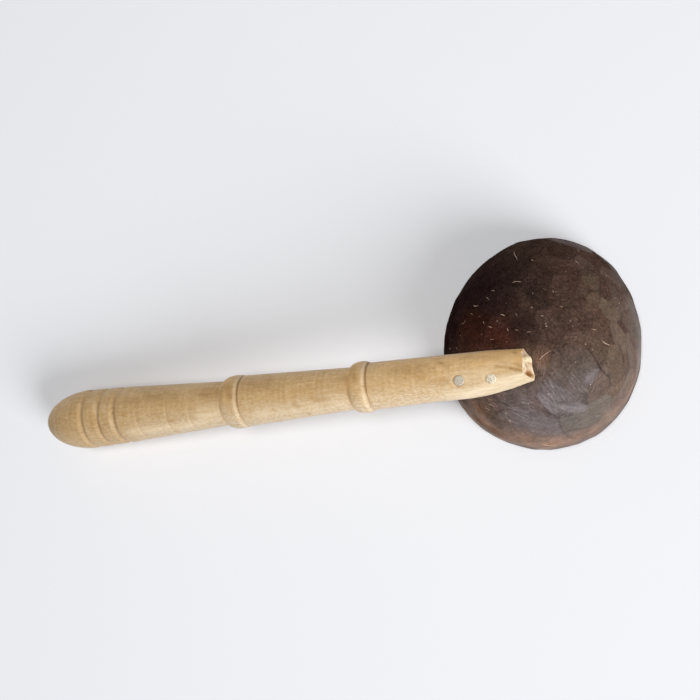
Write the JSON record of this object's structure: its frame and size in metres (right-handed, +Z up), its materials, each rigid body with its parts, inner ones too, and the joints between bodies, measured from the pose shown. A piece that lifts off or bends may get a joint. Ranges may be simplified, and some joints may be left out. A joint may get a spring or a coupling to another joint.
{
  "type": "coconut shell spoon",
  "caption": "Spoon made of a half coconut shell with a turned wooden handle nailed across its back, lying face down, for scooping and serving food or liquid.",
  "frame": {"origin": "middle of the box's underside, on the table that the rim and the butt of the handle rest on", "axes": "+X along the handle from its butt to the shell, +Y across, +Z up from the table, out of the shell's crown"},
  "size_m": [0.292, 0.0982, 0.0548],
  "materials": {
    "coconut_shell": "scraped, satin",
    "handle_wood": "turned, bare",
    "nail_steel": "dull, hammered heads"
  },
  "bodies": {
    "root": {"shell_bowl": "coconut_shell", "handle": "handle_wood", "nail_rim": "nail_steel", "nail_crown": "nail_steel"}
  },
  "joints": []
}
